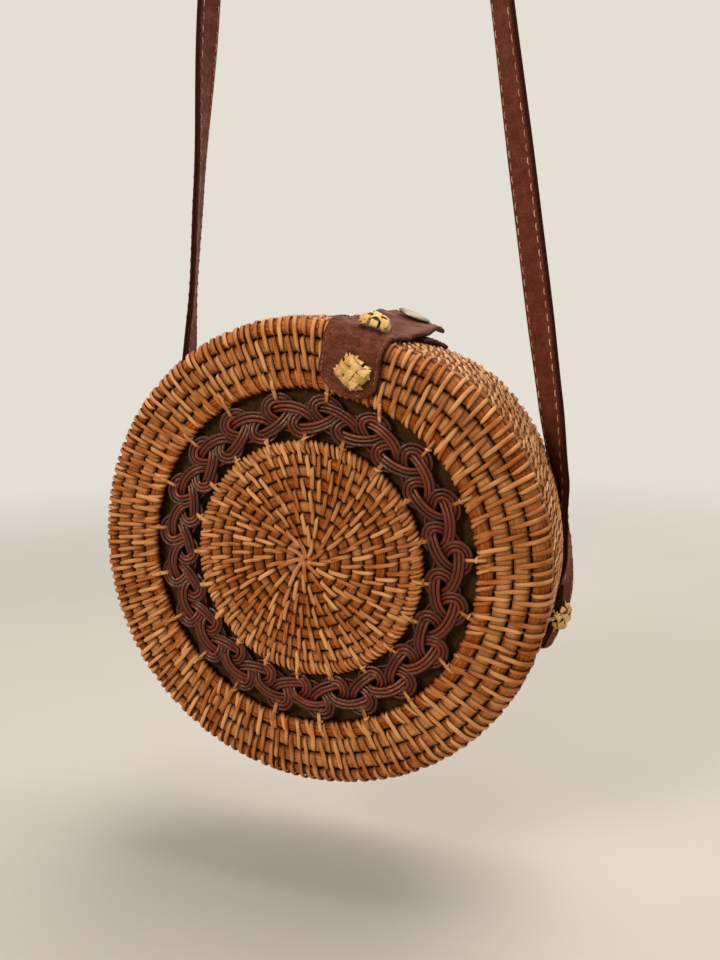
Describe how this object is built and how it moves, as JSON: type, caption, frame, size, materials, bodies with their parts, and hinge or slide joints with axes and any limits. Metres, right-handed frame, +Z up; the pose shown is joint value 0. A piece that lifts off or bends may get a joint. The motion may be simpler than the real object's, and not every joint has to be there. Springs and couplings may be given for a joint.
{
  "type": "round woven shoulder bag",
  "caption": "Round woven rattan shoulder bag with a plaited openwork face, a leather flap with a snap and a long leather strap.",
  "frame": {"origin": "inside of the strap at the top of its loop, where it hangs", "axes": "+Z up along the hanging strap, +Y from the front face to the rear face, +X to the right seen from the front"},
  "size_m": [0.2156, 0.0769, 0.6906],
  "materials": {
    "rattan": "satin woven rattan",
    "pale_rattan": "satin split rattan",
    "dark_cord": "smooth dark cord",
    "lining": "plain weave",
    "leather": "smooth grain leather",
    "snap_metal": "polished"
  },
  "bodies": {
    "strap": {"strap_top_leather": "leather", "strap_backing_leather": "leather"},
    "rear_half": {"rear_side_wall": "rattan", "rear_face_ring": "rattan", "rear_center_disc": "rattan", "rear_outer_ties": "pale_rattan", "rear_inner_ties": "pale_rattan", "rear_braid": "dark_cord", "rear_lining": "lining", "hinge_loops_rear": "pale_rattan", "hinge_cord": "pale_rattan", "tab_tack": "pale_rattan", "strap_knot_left": "pale_rattan", "strap_knot_right": "pale_rattan", "strap_knot_washer_left": "leather", "strap_knot_washer_right": "leather", "lower_tab": "leather", "snap_stud": "snap_metal", "stud_rivet_plate": "snap_metal"},
    "front_half": {"front_side_wall": "rattan", "front_face_ring": "rattan", "front_center_disc": "rattan", "front_outer_ties": "pale_rattan", "front_inner_ties": "pale_rattan", "front_braid": "dark_cord", "front_lining": "lining", "hinge_loops_front": "pale_rattan", "flap_base": "leather", "flap_front_knot": "pale_rattan", "flap_front_washer": "leather", "flap_top_knot": "pale_rattan", "flap_top_washer": "leather"},
    "flap": {"flap_tongue": "leather", "snap_cap": "snap_metal", "snap_socket": "snap_metal"}
  },
  "joints": [
    {"name": "strap_swing", "type": "hinge", "parent": "strap", "child": "rear_half", "pos_m": [0, 0, -0.585], "axis": [0.9588, 0, -0.284], "range_deg": [-40, 110]},
    {"name": "front_open", "type": "hinge", "parent": "rear_half", "child": "front_half", "pos_m": [-0.0284, -0.017, -0.68088], "axis": [0.9588, 0, -0.284], "range_deg": [0, 35]},
    {"name": "flap_lift", "type": "hinge", "parent": "front_half", "child": "flap", "pos_m": [0.02905, -0.032, -0.48691], "axis": [0.9588, 0, -0.284], "range_deg": [0, 115]}
  ]
}
